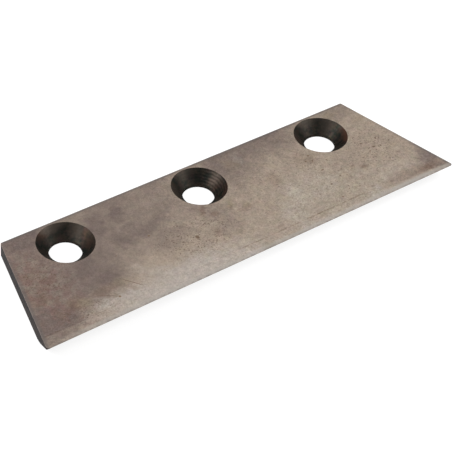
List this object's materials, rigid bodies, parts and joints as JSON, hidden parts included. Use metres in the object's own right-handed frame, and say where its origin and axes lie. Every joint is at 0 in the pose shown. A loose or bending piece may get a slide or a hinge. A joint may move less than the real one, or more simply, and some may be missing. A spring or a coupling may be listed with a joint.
{
  "type": "wood chipper knife",
  "caption": "Flat steel knife with slanted ends, a long ground cutting edge along the front, and a row of countersunk screw holes near its back edge.",
  "frame": {"origin": "middle of the knife's bounding box, on the underside that it lies on and is clamped by", "axes": "+X along the length, +Y from the cutting edge towards the back edge, +Z out of the top face, which holds the countersinks"},
  "size_m": [0.25, 0.072, 0.008],
  "materials": {
    "ground_steel": "satin ground tool steel, darkened and stained in storage"
  },
  "bodies": {
    "root": {"chipper_knife": "ground_steel"}
  },
  "joints": []
}
